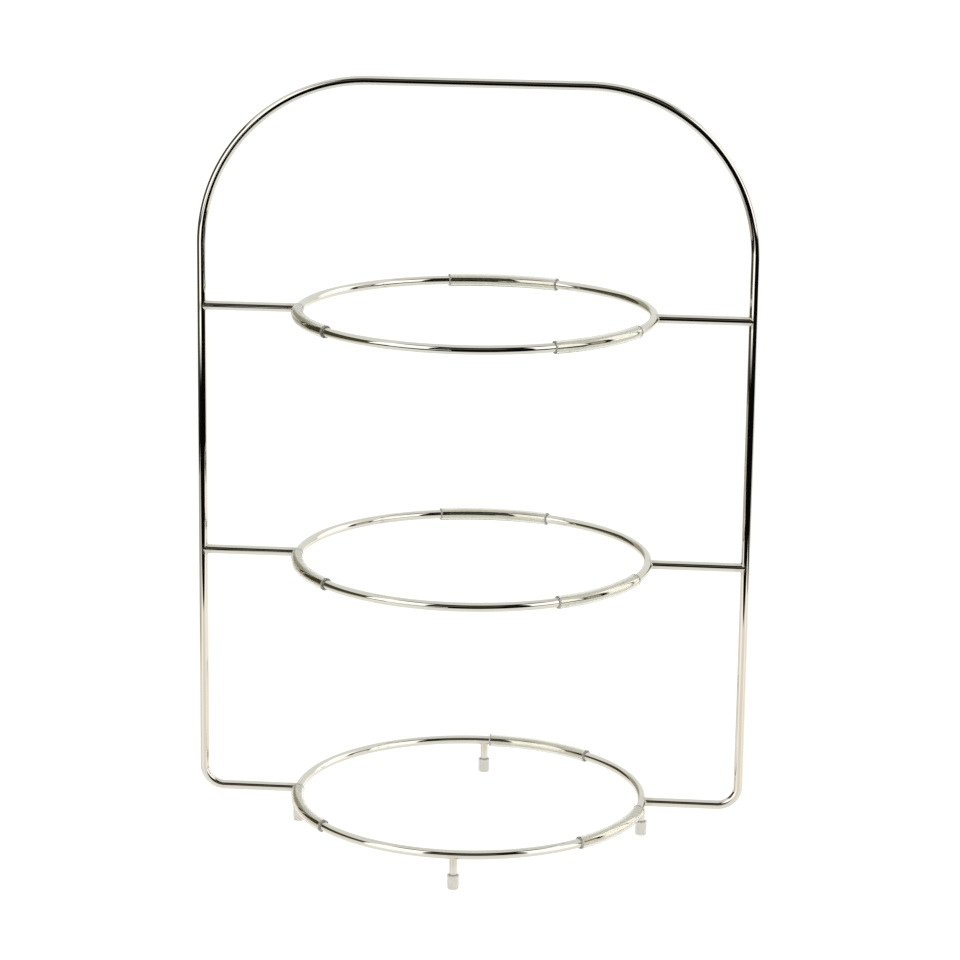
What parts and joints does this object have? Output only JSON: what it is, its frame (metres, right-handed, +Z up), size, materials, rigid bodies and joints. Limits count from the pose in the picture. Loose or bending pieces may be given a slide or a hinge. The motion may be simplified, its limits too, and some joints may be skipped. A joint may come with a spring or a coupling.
{
  "type": "tiered plate stand",
  "caption": "Tiered wire cake stand: arched handle frame, equal plate rings one above the other, short capped legs and clear anti-slip sleeves that slide on the rings.",
  "frame": {"origin": "table level on the common axis of the three rings", "axes": "+Z up; the arched frame stands in the XZ plane; the front faces -Y and +X is the right-hand upright seen from the front"},
  "size_m": [0.308, 0.2018, 0.426],
  "materials": {
    "plated_wire": "bright plated steel wire, slightly warm",
    "foot_vinyl": "translucent soft vinyl, glossy",
    "clear_tubing": "clear soft tubing, glossy"
  },
  "bodies": {
    "stand": {"frame_wire": "plated_wire", "ring_upper": "plated_wire", "ring_middle": "plated_wire", "ring_lower": "plated_wire", "stub_upper_left": "plated_wire", "stub_upper_right": "plated_wire", "stub_middle_left": "plated_wire", "stub_middle_right": "plated_wire", "leg_front": "plated_wire", "leg_back": "plated_wire", "leg_left": "plated_wire", "leg_right": "plated_wire", "foot_cap_front": "foot_vinyl", "foot_cap_back": "foot_vinyl", "foot_cap_left": "foot_vinyl", "foot_cap_right": "foot_vinyl"},
    "sleeve_upper_back": {"sleeve_upper_back": "clear_tubing"},
    "sleeve_upper_left": {"sleeve_upper_left": "clear_tubing"},
    "sleeve_upper_right": {"sleeve_upper_right": "clear_tubing"},
    "sleeve_middle_back": {"sleeve_middle_back": "clear_tubing"},
    "sleeve_middle_left": {"sleeve_middle_left": "clear_tubing"},
    "sleeve_middle_right": {"sleeve_middle_right": "clear_tubing"},
    "sleeve_lower_back": {"sleeve_lower_back": "clear_tubing"},
    "sleeve_lower_left": {"sleeve_lower_left": "clear_tubing"},
    "sleeve_lower_right": {"sleeve_lower_right": "clear_tubing"}
  },
  "joints": [
    {"name": "sleeve_upper_back_slide_round", "type": "hinge", "parent": "stand", "child": "sleeve_upper_back", "pos_m": [0, 0, 0.2975], "axis": [0, 0, 1], "range_deg": [-64.68, 73.88]},
    {"name": "sleeve_upper_left_slide_round", "type": "hinge", "parent": "stand", "child": "sleeve_upper_left", "pos_m": [0, 0, 0.2975], "axis": [0, 0, 1], "range_deg": [-0.78, 49.2]},
    {"name": "sleeve_upper_right_slide_round", "type": "hinge", "parent": "stand", "child": "sleeve_upper_right", "pos_m": [0, 0, 0.2975], "axis": [0, 0, 1], "range_deg": [-29.4, 20.58]},
    {"name": "sleeve_middle_back_slide_round", "type": "hinge", "parent": "stand", "child": "sleeve_middle_back", "pos_m": [0, 0, 0.1585], "axis": [0, 0, 1], "range_deg": [-66.68, 71.88]},
    {"name": "sleeve_middle_left_slide_round", "type": "hinge", "parent": "stand", "child": "sleeve_middle_left", "pos_m": [0, 0, 0.1585], "axis": [0, 0, 1], "range_deg": [-1.28, 48.7]},
    {"name": "sleeve_middle_right_slide_round", "type": "hinge", "parent": "stand", "child": "sleeve_middle_right", "pos_m": [0, 0, 0.1585], "axis": [0, 0, 1], "range_deg": [-32.2, 17.78]},
    {"name": "sleeve_lower_back_slide_round", "type": "hinge", "parent": "stand", "child": "sleeve_lower_back", "pos_m": [0, 0, 0.0195], "axis": [0, 0, 1], "range_deg": [-48.55, 0]},
    {"name": "sleeve_lower_left_slide_round", "type": "hinge", "parent": "stand", "child": "sleeve_lower_left", "pos_m": [0, 0, 0.0195], "axis": [0, 0, 1], "range_deg": [0, 48.55]},
    {"name": "sleeve_lower_right_slide_round", "type": "hinge", "parent": "stand", "child": "sleeve_lower_right", "pos_m": [0, 0, 0.0195], "axis": [0, 0, 1], "range_deg": [-41.18, 7.38]}
  ]
}
